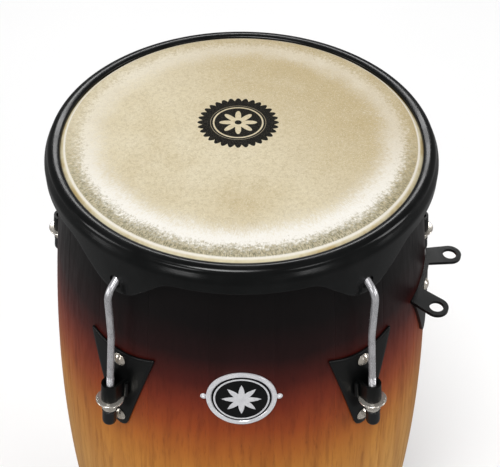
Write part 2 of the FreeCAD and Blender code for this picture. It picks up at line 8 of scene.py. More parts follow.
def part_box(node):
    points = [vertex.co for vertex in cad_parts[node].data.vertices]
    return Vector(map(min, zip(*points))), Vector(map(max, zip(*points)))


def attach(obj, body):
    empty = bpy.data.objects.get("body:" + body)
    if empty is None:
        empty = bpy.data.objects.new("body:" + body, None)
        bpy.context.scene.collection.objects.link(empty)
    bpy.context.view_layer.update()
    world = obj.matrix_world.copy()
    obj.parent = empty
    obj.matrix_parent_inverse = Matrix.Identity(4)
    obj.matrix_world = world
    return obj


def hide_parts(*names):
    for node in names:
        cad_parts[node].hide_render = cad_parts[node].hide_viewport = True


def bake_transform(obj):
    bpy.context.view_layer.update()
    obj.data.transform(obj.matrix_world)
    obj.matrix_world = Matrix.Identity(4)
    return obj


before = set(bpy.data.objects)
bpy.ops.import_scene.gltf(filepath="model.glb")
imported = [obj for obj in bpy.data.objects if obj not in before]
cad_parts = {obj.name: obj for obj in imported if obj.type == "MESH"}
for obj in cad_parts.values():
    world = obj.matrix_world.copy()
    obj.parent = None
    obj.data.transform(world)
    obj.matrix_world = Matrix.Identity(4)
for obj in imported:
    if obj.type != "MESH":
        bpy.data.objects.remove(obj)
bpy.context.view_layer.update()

# Driving dimensions, in metres. A depth is measured down from the top of the head,
# and an azimuth is in degrees: 0 is the badge's side (-Y) and 90 is +X.
HEAD_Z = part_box("drum_skin")[1].z
BELLY_R = 0.1718
BELLY_Z = 0.371
UPPER_ARC_R = 1.746
LOWER_ARC_R = 1.305
WALL = 0.011
STAVE_COUNT = 20
LUG_COUNT = 5
LUG_AZIMUTHS = [36.0 + 72.0 * k for k in range(LUG_COUNT)]
BRACKET_AZIMUTH = 72.0
BADGE_AZIMUTH = 0.0

# Head
BEARING_R = 0.1356
BEARING_DEPTH = 0.005          # centre of the rounded bearing edge
SKIN_ROUND = 0.00495           # outer radius of the skin where it turns over the edge
SKIN_T = 0.0011

# Bands on the head, as radii where each edge starts and ends
CHALK_BAND = ((0.100, 0.122), (0.122, 0.134))
SPECKLE_START = (0.122, 0.132)
SPECKLE_END = (0.1372, 0.1382)
# painted highlight: a light line where the skin turns over the bearing edge
CREASE_HIGHLIGHT_BAND = ((0.1368, 0.1378), (0.1386, 0.1398))
COLLAR_START = (0.1384, 0.1400)

# Printed mark
MARK_CENTRE = (-0.0030, 0.0150)
MARK_R = 0.0286
PETALS = 32
PETAL_REACH = 0.0038
MARK_RING = (0.0202, 0.0189)
THIN_RING = (0.0222, 0.0218)
LEAVES = 8
LEAF_R = 0.0062
LEAF_REACH = 0.0088
ROSETTE_EYE_R = 0.0028

# Counterhoop
SKIRT_R = 0.1546
SKIRT_T = 0.002
SKIRT_DEPTH = 0.020
TAB_DEPTH = 0.048
TAB_HALF_WIDTH = 0.042
TAB_SLOPE = 0.89
TAB_FILLET = 0.022
TAB_HOLE_R = 0.0049

# Tuning hooks, as (radius, depth)
ROD_R = 0.00278
HOOK_TIP = (0.1483, 0.0332)
HOOK_CORNER = (0.1637, 0.0429)
HOOK_BEND_R = 0.013
ROD_CORNER_DEPTH = 0.0866
ROD_BEND_R = 0.060
ROD_LEAN = 0.155
ROD_AXIS_AT = (0.1724, 0.133)
THREAD_R = 0.00305
THREAD_PITCH = 0.0011

# Tuning hardware
STRAP_DEPTH = 0.1425
STRAP_LENGTH = 0.016
WASHER_R = 0.0110
WASHER_T = 0.0022
NUT_FLATS = 0.0111
NUT_HEIGHT = 0.009
CAP_R = 0.006
CAP_LENGTH = 0.016
CAP_WALL_END = 0.0055
MOVING_GAP = 0.0003
CAP_GAP = 0.0005

# Plates and screws
PLATE_T = 0.0022
PLATE_HALF_WIDTH = 0.0312
PLATE_TOP_DEPTH = 0.1045
PLATE_TIP_DEPTH = 0.196
PLATE_TIP_R = 0.0075
PLATE_TOP_DIP = 0.006
SCREW_DEPTHS = (0.1187, 0.1807)
BRACKET_SCREW_DEPTHS = (0.118, 0.142)
SCREW_HEAD_R = 0.0056
SCREW_HEAD_H = 0.0032
SCREW_R = 0.003
SCREW_REACH = 0.0205
SLOT_W = 0.0013
SLOT_DEEP = 0.0017

# Badge
BADGE_R = 0.0268
BADGE_DEPTH = 0.129
BADGE_T = 0.0018
BADGE_RIM_W = 0.0038
BADGE_RECESS = 0.0008
PIN_SPREAD = 0.0288
PIN_HEAD_R = 0.0017
PIN_SEAT = 0.00105
PIN_LENGTH = 0.008
PIN_R = 0.0009
STAR_ARMS = 8
STAR_R = 0.0150
STAR_WAIST_R = 0.0062

GAP = 0.0001                   # between touching faces of one body


# Shapes

def shell_radius(z, offset=0.0):
    """Outer radius of the shell at a height, moved out by offset along the surface normal."""
    side = UPPER_ARC_R if z > BELLY_Z else LOWER_ARC_R
    return BELLY_R - side + math.sqrt((side + offset) ** 2 - (z - BELLY_Z) ** 2)


def surface_tilt(z):
    side = UPPER_ARC_R if z > BELLY_Z else LOWER_ARC_R
    return math.asin((z - BELLY_Z) / side)


def facing(azimuth):
    """Turns a shape drawn facing +X to its azimuth."""
    return Matrix.Rotation(math.radians(azimuth - 90.0), 4, "Z")


def on_shell(across, z, lift):
    """A point lifted off the shell's +X side, a distance across from its middle line."""
    radius = shell_radius(z)
    swing = math.asin(across / radius)
    tilt = surface_tilt(z)
    reach = radius + lift * math.cos(tilt)
    return Vector((reach * math.cos(swing), reach * math.sin(swing), z + lift * math.sin(tilt)))


def shell_frame(depth, lift=0.0):
    """The place on the side facing +X whose local Z points out of the shell and local X down."""
    z = HEAD_Z - depth
    tilt = surface_tilt(z)
    out = Vector((math.cos(tilt), 0, math.sin(tilt)))
    down = Vector((math.sin(tilt), 0, -math.cos(tilt)))
    side = out.cross(down)
    seat = Vector((shell_radius(z), 0, z)) + out * lift
    return Matrix.Translation(seat) @ Matrix((down, side, out)).transposed().to_4x4()


def quads(rows, columns, loop_rows, loop_columns):
    """Faces between neighbouring points of a grid stored row by row."""
    faces = []
    for i in range(rows if loop_rows else rows - 1):
        for j in range(columns if loop_columns else columns - 1):
            below = ((i + 1) % rows) * columns
            beside = (j + 1) % columns
            faces.append((i * columns + j, i * columns + beside, below + beside, below + j))
    return faces


def make_piece(name, parts, sharp=38.0):
    """One mesh object from (points, faces) shells, welded, with outward normals."""
    mesh = bpy.data.meshes.new(name)
    points = []
    faces = []
    for part_points, part_faces in parts:
        first = len(points)
        points += [tuple(p) for p in part_points]
        faces += [tuple(first + i for i in face) for face in part_faces]
    mesh.from_pydata(points, [], faces)
    work = bmesh.new()
    work.from_mesh(mesh)
    bmesh.ops.remove_doubles(work, verts=work.verts, dist=1e-7)
    bmesh.ops.recalc_face_normals(work, faces=work.faces)
    work.to_mesh(mesh)
    work.free()
    mesh.shade_smooth()
    mesh.set_sharp_from_angle(angle=math.radians(sharp))
    piece = bpy.data.objects.new(name, mesh)
    bpy.context.scene.collection.objects.link(piece)
    return piece


def polar(r, turn, z=0.0):
    return Vector((r * math.cos(turn), r * math.sin(turn), z))


def lathe(profile, steps, loop=False):
    """A (radius, height) profile turned about the local Z axis."""
    points = []
    for k in range(steps):
        turn = 2.0 * math.pi * k / steps
        points += [polar(r, turn, h) for r, h in profile]
    return points, quads(steps, len(profile), True, loop)


def moved(part, matrix):
    points, faces = part
    return [matrix @ p for p in points], faces


def curve_through(points, steps):
    """A smooth line through a few given points (Catmull-Rom), steps per stretch."""
    line = []
    for i in range(len(points) - 1):
        p0 = Vector(points[max(i - 1, 0)])
        p1 = Vector(points[i])
        p2 = Vector(points[i + 1])
        p3 = Vector(points[min(i + 2, len(points) - 1)])
        for k in range(steps):
            t = k / steps
            line.append(0.5 * (2 * p1 + (p2 - p0) * t + (2 * p0 - 5 * p1 + 4 * p2 - p3) * t * t
                               + (3 * p1 - p0 - 3 * p2 + p3) * t ** 3))
    line.append(Vector(points[-1]))
    return line


def rounded_path(points, radii, spacing):
    """Points along straight runs joined by tangent arcs, at about the given spacing."""
    path = [points[0]]
    for i in range(1, len(points)):
        if i == len(points) - 1:
            arc_points = [points[i]]
        else:
            before = (points[i - 1] - points[i]).normalized()
            after = (points[i + 1] - points[i]).normalized()
            half = before.angle(after) / 2.0
            middle = (before + after).normalized()
            centre = points[i] + middle * (radii[i] / math.sin(half))
            start = points[i] + before * (radii[i] / math.tan(half)) - centre
            end = points[i] + after * (radii[i] / math.tan(half)) - centre
            count = max(4, round(start.angle(end) * radii[i] / spacing))
            sweep = [start.slerp(end, k / count).normalized() for k in range(count + 1)]
            arc_points = [centre + step * start.length for step in sweep]
        run = arc_points[0] - path[-1]
        count = max(1, round(run.length / spacing))
        path += [path[-1] + run * ((k + 1) / count) for k in range(count)]
        path += arc_points[1:]
    return path


def finish_piece(piece, body, slot, material, *nodes):
    """Gives a piece its material and body, and hides the CAD nodes that it stands for; slot is not
    used.
    """
    piece.data.materials.clear()
    piece.data.materials.append(material)
    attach(piece, body)
    if nodes:
        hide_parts(*nodes)
    return piece


# Materials

def tint(red, green, blue):
    """Linear colour from 0-255 display values."""
    values = [c / 255.0 for c in (red, green, blue)]
    linear = [v / 12.92 if v <= 0.04045 else ((v + 0.055) / 1.055) ** 2.4 for v in values]
    return (*linear, 1.0)


class Finish:
    """A material's node tree, with short calls for the nodes that the finishes share."""

    def __init__(self, name, **settings):
        self.material = bpy.data.materials.new(name)
        self.material.use_nodes = True
        self.nodes = self.material.node_tree.nodes
        self.links = self.material.node_tree.links
        self.shader = self.nodes["Principled BSDF"]
        for socket, value in settings.items():
            self.shader.inputs[socket.replace("_", " ")].default_value = value
        self.place = self.nodes.new("ShaderNodeTexCoord").outputs["Object"]
        parts = self.nodes.new("ShaderNodeSeparateXYZ")
        self.links.new(self.place, parts.inputs[0])
        self.x, self.y, self.z = parts.outputs

    def put(self, value, socket):
        if isinstance(value, bpy.types.NodeSocket):
            self.links.new(value, socket)
        else:
            socket.default_value = value

    def math(self, operation, *values):
        node = self.nodes.new("ShaderNodeMath")
        node.operation = operation
        for value, socket in zip(values, node.inputs):
            self.put(value, socket)
        return node.outputs[0]

    def plus(self, a, b):
        return self.math("ADD", a, b)

    def minus(self, a, b):
        return self.math("SUBTRACT", a, b)

    def times(self, a, b):
        return self.math("MULTIPLY", a, b)

    def distance(self, x, y):
        """How far (x, y) is from the origin."""
        return self.math("SQRT", self.plus(self.times(x, x), self.times(y, y)))

    def vector(self, x, y, z):
        node = self.nodes.new("ShaderNodeCombineXYZ")
        for value, socket in zip((x, y, z), node.inputs):
            self.put(value, socket)
        return node.outputs[0]

    def stretched(self, x, y, z):
        node = self.nodes.new("ShaderNodeMapping")
        node.inputs["Scale"].default_value = (x, y, z)
        self.links.new(self.place, node.inputs["Vector"])
        return node.outputs[0]

    def noise(self, scale, detail=3.0, rough=0.55, at=None, distort=0.0):
        node = self.nodes.new("ShaderNodeTexNoise")
        node.inputs["Scale"].default_value = scale
        node.inputs["Detail"].default_value = detail
        node.inputs["Roughness"].default_value = rough
        node.inputs["Distortion"].default_value = distort
        self.links.new(self.place if at is None else at, node.inputs["Vector"])
        return node.outputs["Fac"]

    def chance(self, value):
        """A fixed value between 0 and 1 for each whole number."""
        node = self.nodes.new("ShaderNodeTexWhiteNoise")
        node.noise_dimensions = "1D"
        self.links.new(value, node.inputs["W"])
        return node.outputs["Value"]

    def between(self, value, low, high, to_low=0.0, to_high=1.0, smooth=True):
        """Maps low..high to to_low..to_high, with soft ends unless told otherwise."""
        node = self.nodes.new("ShaderNodeMapRange")
        node.interpolation_type = "SMOOTHSTEP" if smooth else "LINEAR"
        limits = {"From Min": low, "From Max": high, "To Min": to_low, "To Max": to_high}
        for key, number in {"Value": value, **limits}.items():
            self.put(number, node.inputs[key])
        return node.outputs["Result"]

    def band(self, value, rise, fall):
        """1 between two soft edges, each given as (start, end), and 0 beyond them."""
        return self.times(self.between(value, *rise), self.between(value, *fall, 1.0, 0.0))

    def ramp(self, value, stops):
        node = self.nodes.new("ShaderNodeValToRGB")
        elements = node.color_ramp.elements
        while len(elements) < len(stops):
            elements.new(0.5)
        for element, (position, colour) in zip(elements, stops):
            element.position = position
            element.color = colour
        self.put(value, node.inputs[0])
        return node.outputs[0]

    def mix(self, factor, a, b, blend="MIX"):
        node = self.nodes.new("ShaderNodeMix")
        node.data_type = "RGBA"
        node.blend_type = blend
        for value, socket in ((factor, 0), (a, 6), (b, 7)):
            self.put(value, node.inputs[socket])
        return node.outputs[2]

    def shade(self, colour, value, low, high, most, by, smooth=True):
        """Multiplies a colour by another where value is high, up to the share given by most."""
        share = self.between(value, low, high, 0.0, most, smooth)
        return self.mix(share, colour, self.mix(1.0, colour, by, "MULTIPLY"))

    def bump(self, height, distance, strength=1.0, under=None):
        node = self.nodes.new("ShaderNodeBump")
        node.inputs["Strength"].default_value = strength
        node.inputs["Distance"].default_value = distance
        self.links.new(height, node.inputs["Height"])
        if under is not None:
            self.links.new(under, node.inputs["Normal"])
        return node.outputs[0]

    def give(self, colour=None, rough=None, normal=None):
        for value, key in ((colour, "Base Color"), (rough, "Roughness"), (normal, "Normal")):
            if value is not None:
                self.put(value, self.shader.inputs[key])
        return self.material


def rawhide(f, blotch, fine):
    """Natural hide: mottled cream, tanner towards the back right."""
    speck = f.noise(1100.0, 2.0, 0.8)
    stops = [(0.30, tint(226, 215, 187)), (0.52, tint(217, 204, 172)), (0.72, tint(203, 186, 148))]
    colour = f.ramp(f.noise(9.0, 4.0, 0.6), stops)
    lean = f.plus(f.times(f.x, 2.6), f.times(f.y, 2.2))
    tan = f.between(f.plus(lean, f.times(blotch, 0.5)), 0.10, 0.60)
    colour = f.mix(f.times(tan, 0.85), colour, tint(184, 163, 118))
    colour = f.mix(f.between(blotch, 0.35, 0.75, 0.0, 0.28), colour, tint(236, 228, 206))
    colour = f.mix(f.between(fine, 0.42, 0.66, 0.0, 0.38), colour, tint(172, 154, 116))
    return f.mix(f.between(speck, 0.52, 0.68, 0.0, 0.42), colour, tint(246, 240, 222))


def printed_mark(f):
    """Where the head is inked: a disc with a ring, a plain rosette and a fringe of petals."""
    x = f.minus(f.x, MARK_CENTRE[0])
    y = f.minus(f.y, MARK_CENTRE[1])
    wobble = f.times(f.minus(f.noise(900.0, 2.0), 0.5), 0.0004)
    radius = f.plus(f.distance(x, y), wobble)
    angle = f.math("ARCTAN2", y, x)
    edge = 0.00012

    def wave(count):
        return f.math("ABSOLUTE", f.math("COSINE", f.times(angle, float(count))))

    def inside(limit):
        return f.between(f.minus(limit, radius), -edge, edge)

    def ring(outer, inner):
        return f.times(inside(outer), f.minus(1.0, inside(inner)))

    disc = inside(f.plus(MARK_R, f.times(wave(PETALS / 2), PETAL_REACH)))
    leaf = f.plus(LEAF_R, f.times(f.math("POWER", wave(LEAVES / 2), 1.6), LEAF_REACH))
    thin = f.times(ring(*THIN_RING), 0.5)
    light = f.math("MAXIMUM", ring(*MARK_RING), f.math("MAXIMUM", thin, ring(leaf, ROSETTE_EYE_R)))
    worn = f.between(f.noise(2600.0, 2.0, 0.8), 0.25, 0.5, 0.82, 1.0)
    return f.times(f.times(disc, f.minus(1.0, light)), worn)


def head_material():
    """Hide with a chalky ring, a dark speckled band, a painted highlight where the skin turns over
    the edge and an amber collar, darkened by painted shade under the hoop's lip.
    """
    f = Finish("rawhide_head", Specular_IOR_Level=0.07)
    radius = f.distance(f.x, f.y)
    blotch = f.noise(34.0, 5.0, 0.65)
    fine = f.noise(420.0, 4.0, 0.75)
    colour = rawhide(f, blotch, fine)
    # the bands are ragged: the edges wander, and short hairs lie along the radius
    wander = f.times(f.minus(blotch, 0.5), 0.012)
    angle = f.math("ARCTAN2", f.y, f.x)
    hair_at = f.vector(f.times(angle, 0.135), f.times(radius, 0.30), 0.0)
    hair = f.noise(950.0, 3.0, 0.7, hair_at)
    hairy = f.times(f.minus(f.plus(fine, hair), 1.0), 0.026)
    ragged = f.plus(f.plus(radius, wander), hairy)
    near = f.between(f.y, -0.13, 0.06, 1.0, 0.0)
    strength = f.between(near, 0.0, 1.0, 0.30, 0.92)
    chalk = f.times(f.band(ragged, *CHALK_BAND), strength)
    colour = f.mix(chalk, colour, tint(250, 247, 240))
    speckled = f.times(f.between(ragged, *SPECKLE_START), f.between(radius, *SPECKLE_END, 1.0, 0.0))
    dark = f.times(f.between(hair, 0.34, 0.62, 1.0, 0.20), f.between(near, 0.0, 1.0, 0.15, 1.0))
    colour = f.mix(f.times(speckled, dark), colour, tint(112, 110, 86))
    # painted highlight along the turn of the skin over the bearing edge
    crease_highlight = f.times(f.band(radius, *CREASE_HIGHLIGHT_BAND), 0.75)
    colour = f.mix(crease_highlight, colour, tint(246, 242, 232))
    amber = f.mix(f.between(blotch, 0.40, 0.65), tint(238, 228, 194), tint(206, 182, 126))
    # painted shade: the collar turns dark brown where it runs under the hoop's lip
    amber = f.mix(f.between(radius, 0.1408, 0.1425), amber, tint(150, 116, 62))
    colour = f.mix(f.times(f.between(radius, *COLLAR_START), 0.9), colour, amber)
    top_face = f.between(f.z, HEAD_Z - 0.0008, HEAD_Z - 0.0005)
    colour = f.mix(f.times(printed_mark(f), top_face), colour, tint(8, 8, 8))
    rough = f.between(fine, 0.3, 0.7, 0.50, 0.68)
    hairs = f.noise(1500.0, 2.0, 0.7, f.stretched(1.0, 0.25, 1.0))
    normal = f.bump(f.noise(60.0, 4.0, 0.6), 0.0006, 0.6)
    normal = f.bump(f.plus(fine, f.times(hairs, 0.5)), 0.00025, 0.8, normal)
    return f.give(colour, rough, normal)


def lap_material():
    """The rawhide lapped round the flesh hoop."""
    f = Finish("rawhide_lap")
    stain = f.noise(40.0, 5.0, 0.6)
    colour = f.mix(f.between(stain, 0.3, 0.7), tint(214, 196, 150), tint(178, 148, 96))
    fine = f.noise(700.0, 3.0, 0.7)
    colour = f.mix(f.between(fine, 0.45, 0.75, 0.0, 0.5), colour, tint(140, 112, 70))
    return f.give(colour, f.between(fine, 0.3, 0.7, 0.5, 0.75), f.bump(fine, 0.0003))


def outer_radius(f):
    """The shell's outer radius at the shaded point's height, above the belly or below it."""
    up = f.minus(f.z, BELLY_Z)
    square = f.times(up, up)
    drop = f.math("DIVIDE", square, 2.0 * UPPER_ARC_R)
    low = f.math("DIVIDE", square, 2.0 * LOWER_ARC_R)
    return f.minus(BELLY_R, f.math("MAXIMUM", drop, f.times(low, f.math("LESS_THAN", up, 0.0))))


def stave_wood():
    """Lacquered staves with a burst: nearly black at the shell's ends, amber in the belly."""
    f = Finish("burst_staves", Specular_IOR_Level=0.2)
    angle = f.math("ARCTAN2", f.y, f.x)
    step = 2.0 * math.pi / STAVE_COUNT
    lot = f.chance(f.math("FLOOR", f.plus(f.math("DIVIDE", angle, step), 0.5)))
    shift = f.times(lot, 3.7)
    across = [f.plus(f.x, shift), f.plus(f.y, shift)]
    grain_at = f.vector(*across, f.times(f.z, 0.07))
    figure = f.noise(38.0, 4.0, 0.55, grain_at, 0.6)
    streak = f.noise(210.0, 4.0, 0.6, grain_at, 0.3)
    pores = f.noise(900.0, 2.0, 0.6, f.vector(*across, f.times(f.z, 0.025)))
    # the burst by depth, with a wandering edge
    depth = f.plus(f.minus(HEAD_Z, f.z), f.times(f.minus(f.noise(7.0, 2.0), 0.5), 0.030))
    depth = f.plus(depth, f.times(f.minus(streak, 0.5), 0.012))
    burst = [(0.000, 10, 8, 8), (0.060, 13, 8, 9), (0.092, 34, 12, 13), (0.118, 76, 22, 14),
             (0.142, 118, 42, 16), (0.168, 148, 66, 20), (0.195, 170, 96, 30),
             (0.225, 186, 122, 44), (0.290, 196, 142, 66), (0.360, 200, 150, 76),
             (0.450, 194, 138, 62), (0.520, 172, 100, 34), (0.560, 138, 58, 20),
             (0.600, 86, 28, 14), (0.650, 30, 12, 12), (0.711, 10, 8, 8)]
    stops = [(min(at / HEAD_Z, 1.0), tint(*colour)) for at, *colour in burst]
    colour = f.ramp(f.math("DIVIDE", depth, HEAD_Z), stops)
    colour = f.shade(colour, figure, 0.30, 0.70, 0.34, tint(176, 132, 104))
    colour = f.shade(colour, streak, 0.45, 0.72, 0.38, tint(158, 118, 92))
    colour = f.shade(colour, pores, 0.60, 0.72, 0.30, tint(120, 88, 70))
    colour = f.shade(colour, lot, 0.0, 1.0, 0.22, tint(190, 160, 140), False)
    # bare wood on the inside
    surface = outer_radius(f)
    limits = [f.minus(surface, WALL * part) for part in (0.75, 0.55)]
    inner = f.between(f.distance(f.x, f.y), *limits)
    bare = f.mix(f.between(streak, 0.35, 0.70), tint(190, 150, 102), tint(150, 108, 66))
    colour = f.mix(inner, bare, colour)
    rough = f.between(streak, 0.3, 0.7, 0.34, 0.46)
    normal = f.bump(f.plus(f.times(pores, 0.6), streak), 0.00006, 0.7)
    return f.give(colour, rough, normal)


def black_enamel(name, rough, orange_peel):
    """Black paint with faint dust, orange peel and slightly uneven gloss."""
    f = Finish(name, Specular_IOR_Level=0.3)
    patch = f.noise(45.0, 3.0)
    dust = f.noise(1900.0, 2.0, 0.8)
    colour = f.mix(f.between(patch, 0.35, 0.65), tint(5, 6, 6), tint(10, 11, 11))
    colour = f.mix(f.between(dust, 0.68, 0.80, 0.0, 0.20), colour, tint(60, 62, 62))
    gloss = f.between(patch, 0.3, 0.7, rough - 0.04, rough + 0.05)
    return f.give(colour, gloss, f.bump(f.noise(orange_peel, 2.0), 0.00004, 0.5))


def plated(name, colour, dull, rough, scratch=(1.0, 1.0, 1.0), metal=0.7):
    """Plated steel: a bright metal with clouding, fine scratches along one way and small pits."""
    f = Finish(name, Metallic=metal)
    cloud = f.noise(120.0, 3.0)
    lines = f.noise(1500.0, 3.0, 0.7, f.stretched(*scratch))
    pits = f.noise(2600.0, 2.0, 0.8)
    base = f.mix(f.between(cloud, 0.35, 0.7), colour, dull)
    base = f.shade(base, lines, 0.50, 0.66, 0.55, tint(170, 170, 172))
    base = f.shade(base, pits, 0.66, 0.76, 0.5, tint(120, 116, 110))
    gloss = f.between(cloud, 0.3, 0.7, rough - 0.03, rough + 0.04)
    gloss = f.plus(gloss, f.between(lines, 0.45, 0.75, 0.0, 0.10))
    return f.give(base, gloss, f.bump(lines, 0.00002, 0.6))


def moulded(name, colour, light, rough):
    """Moulded rubber or plastic with a fine grain and rubbed high spots."""
    f = Finish(name, Specular_IOR_Level=0.45)
    grain = f.noise(1700.0, 3.0, 0.7)
    patch = f.noise(60.0, 3.0)
    base = f.mix(f.between(patch, 0.35, 0.7), colour, light)
    base = f.mix(f.between(grain, 0.6, 0.75, 0.0, 0.25), base, tint(80, 80, 80))
    gloss = f.between(grain, 0.3, 0.7, rough - 0.05, rough + 0.08)
    return f.give(base, gloss, f.bump(grain, 0.00005, 0.6))


HEAD = head_material()
LAP = lap_material()
WOOD = stave_wood()
RIM = black_enamel("rim_enamel", 0.20, 350.0)
PLATE = black_enamel("plate_enamel", 0.34, 700.0)
ENAMEL = black_enamel("badge_enamel", 0.12, 500.0)
ROD = plated("rod_zinc", tint(222, 221, 224), tint(196, 195, 198), 0.24, (1.0, 1.0, 0.06), 0.68)
HOOP_STEEL = plated("hoop_steel", tint(170, 168, 164), tint(140, 134, 126), 0.38)
NUT = plated("nut_nickel", tint(236, 230, 220), tint(212, 204, 192), 0.17, (1.0, 1.0, 0.3), 0.74)
SCREW = plated("screw_nickel", tint(240, 232, 220), tint(216, 206, 192), 0.13, metal=0.74)
ZINC = plated("zinc_hardware", tint(176, 178, 180), tint(150, 152, 156), 0.34)
BADGE = plated("badge_chrome", tint(246, 246, 248), tint(232, 232, 236), 0.12, metal=0.42)
CAP = moulded("cap_plastic", tint(14, 16, 17), tint(20, 22, 24), 0.34)
FOOT = moulded("foot_rubber", tint(18, 18, 19), tint(28, 28, 30), 0.55)


# Head

def skin_profile():
    """The skin's outer line as (radius, depth): flat, over the edge, out under the hoop's lip."""
    flat = [0.0, 0.006, 0.014, 0.024, 0.036, 0.048, 0.060, 0.072,
            0.084, 0.096, 0.106, 0.114, 0.121, 0.127, 0.131]
    line = [(r, 0.0) for r in flat]
    turns = [math.radians(5.0 * k) for k in range(9)]
    for a in turns:
        line.append((BEARING_R + SKIN_ROUND * math.sin(a), SKIN_ROUND * (1.0 - math.cos(a))))
    collar = [line[-1], (0.1410, 0.0031), (0.1432, 0.0052), (0.1447, 0.0078), (0.1462, 0.0092)]
    return line + [tuple(p) for p in curve_through(collar, 3)[1:]]


def head_skin():
    """The rawhide, stretched over the bearing edge, that blends from the shell to the hoop."""
    outer = skin_profile()
    inner = []
    for i in range(len(outer) - 1, -1, -1):
        ahead = Vector(outer[min(i + 1, len(outer) - 1)])
        behind = Vector(outer[max(i - 1, 0)])
        along = (ahead - behind).normalized()
        inner.append((max(outer[i][0] - along.y * SKIN_T, 0.0), outer[i][1] + along.x * SKIN_T))
    steps = 288
    small_wave = 0.00008
    broad_wave = 0.00018
    collar_wave = 0.0003
    collar_r = 0.1395
    points = []
    for k in range(steps):
        turn = 2.0 * math.pi * k / steps
        for r, depth in outer + inner:
            spot = polar(r, turn)
            small = small_wave * (noise.noise(spot * 30.0) - 1.0)
            ripple = small + broad_wave * (noise.noise(spot * 11.0) - 1.0)
            settle = ripple * min(1.0, max(0.0, (BEARING_R - r) / 0.03))
            on_collar = min(1.0, max(0.0, (r - collar_r) / 0.002))
            waver = collar_wave * noise.noise(spot * 40.0) * on_collar
            points.append(Vector((spot.x, spot.y, HEAD_Z - depth + settle + waver)))
    piece = make_piece("head_skin", [(points, quads(steps, len(outer) + len(inner), True, False))])
    piece.data.materials.append(HEAD)
    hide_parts("drum_skin")
    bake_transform(piece)
    return piece


# Counterhoop

def skirt_edge(across):
    """Depth of the skirt's lower edge, at a distance across from the middle of the nearest tab."""
    slope = math.atan(TAB_SLOPE)
    apex = SKIRT_DEPTH + TAB_HALF_WIDTH * TAB_SLOPE
    tip_r = (apex - TAB_DEPTH) / (1.0 / math.cos(slope) - 1.0)
    cut = TAB_FILLET * math.tan(slope / 2.0)
    across = abs(across)
    if across <= tip_r * math.sin(slope):
        return TAB_DEPTH - tip_r + math.sqrt(tip_r ** 2 - across ** 2)
    if across <= TAB_HALF_WIDTH - cut * math.cos(slope):
        return SKIRT_DEPTH + (TAB_HALF_WIDTH - across) * TAB_SLOPE
    if across <= TAB_HALF_WIDTH + cut:
        beyond = across - TAB_HALF_WIDTH - cut
        return SKIRT_DEPTH + TAB_FILLET - math.sqrt(TAB_FILLET ** 2 - beyond ** 2)
    return SKIRT_DEPTH


def hoop_section(edge):
    """The hoop's closed section as (radius, depth), for a skirt that ends at the given depth."""
    roll = [(0.1426, 0.0033), (0.1418, 0.0028), (0.1416, 0.0021), (0.1420, 0.0013),
            (0.1430, 0.0007), (0.1442, 0.0003), (0.1458, 0.0001), (0.1474, 0.0002),
            (0.1489, 0.0005), (0.1502, 0.0012), (0.1512, 0.0023), (0.1518, 0.0040),
            (0.1526, 0.0056), (0.1536, 0.0076), (0.1543, 0.0094), (SKIRT_R, 0.0112)]
    section = [tuple(p) for p in curve_through(roll, 4)]
    lip = SKIRT_T / 2.0
    rows = 14
    top = section[-1][1]
    section += [(SKIRT_R, top + (edge - lip - top) * k / rows) for k in range(1, rows + 1)]
    for k in range(1, 7):
        turn = math.pi * k / 7.0
        section.append((SKIRT_R - lip + lip * math.cos(turn), edge - lip + lip * math.sin(turn)))
    inner = SKIRT_R - SKIRT_T
    under_top = 0.0100
    section += [(inner, edge - lip + (under_top - edge + lip) * k / 6.0) for k in range(7)]
    under = [(inner, under_top), (0.1505, 0.0094), (0.1484, 0.0090), (0.1466, 0.0078),
             (0.1444, 0.0052), roll[0]]
    section += [tuple(p) for p in curve_through(under, 3)[1:-1]]
    return section


def hook_direction():
    """The way that a hook's short leg points, out through the hoop's tab."""
    return Vector((HOOK_CORNER[0] - HOOK_TIP[0], 0, HOOK_TIP[1] - HOOK_CORNER[1])).normalized()


def rim_hoop():
    """The pressed steel hoop, with five tabs that are drilled for the hooks."""
    steps = 900
    points = []
    pitch = 360.0 / LUG_COUNT
    for k in range(steps):
        turn = 360.0 * k / steps
        off_lug = (turn + 90.0 - LUG_AZIMUTHS[0] + pitch / 2.0) % pitch - pitch / 2.0
        section = hoop_section(skirt_edge(SKIRT_R * math.sin(math.radians(off_lug))))
        place = Matrix.Rotation(math.radians(turn), 4, "Z")
        points += [place @ Vector((r, 0, HEAD_Z - depth)) for r, depth in section]
    grid = quads(steps, len(points) // steps, True, True)
    piece = make_piece("rim_hoop", [(points, grid)], 50.0)
    # the holes that the hooks pass through
    drill_lead = 0.008
    drill_length = 0.024
    drills = []
    start = Vector((HOOK_TIP[0], 0, HEAD_Z - HOOK_TIP[1])) - hook_direction() * drill_lead
    spin = Vector((0, 0, 1)).rotation_difference(hook_direction()).to_matrix().to_4x4()
    bore = lathe([(0, 0), (TAB_HOLE_R, 0), (TAB_HOLE_R, drill_length), (0, drill_length)], 40)
    for azimuth in LUG_AZIMUTHS:
        drills.append(moved(bore, facing(azimuth) @ Matrix.Translation(start) @ spin))
    drill = make_piece("hoop_drill", drills)
    cut = piece.modifiers.new("holes", "BOOLEAN")
    cut.object = drill
    cut.solver = "EXACT"
    bake(piece)
    bpy.data.objects.remove(drill)
    piece.data.shade_smooth()
    piece.data.set_sharp_from_angle(angle=math.radians(40.0))
    return finish_piece(piece, "rim", "rim_black", RIM, "counterhoop")


def bake(piece):
    """Applies a piece's modifiers to its mesh."""
    bpy.context.view_layer.update()
    result = piece.evaluated_get(bpy.context.evaluated_depsgraph_get())
    final = bpy.data.meshes.new_from_object(result)
    old = piece.data
    piece.modifiers.clear()
    piece.data = final
    final.name = piece.name
    bpy.data.meshes.remove(old)


# Shell

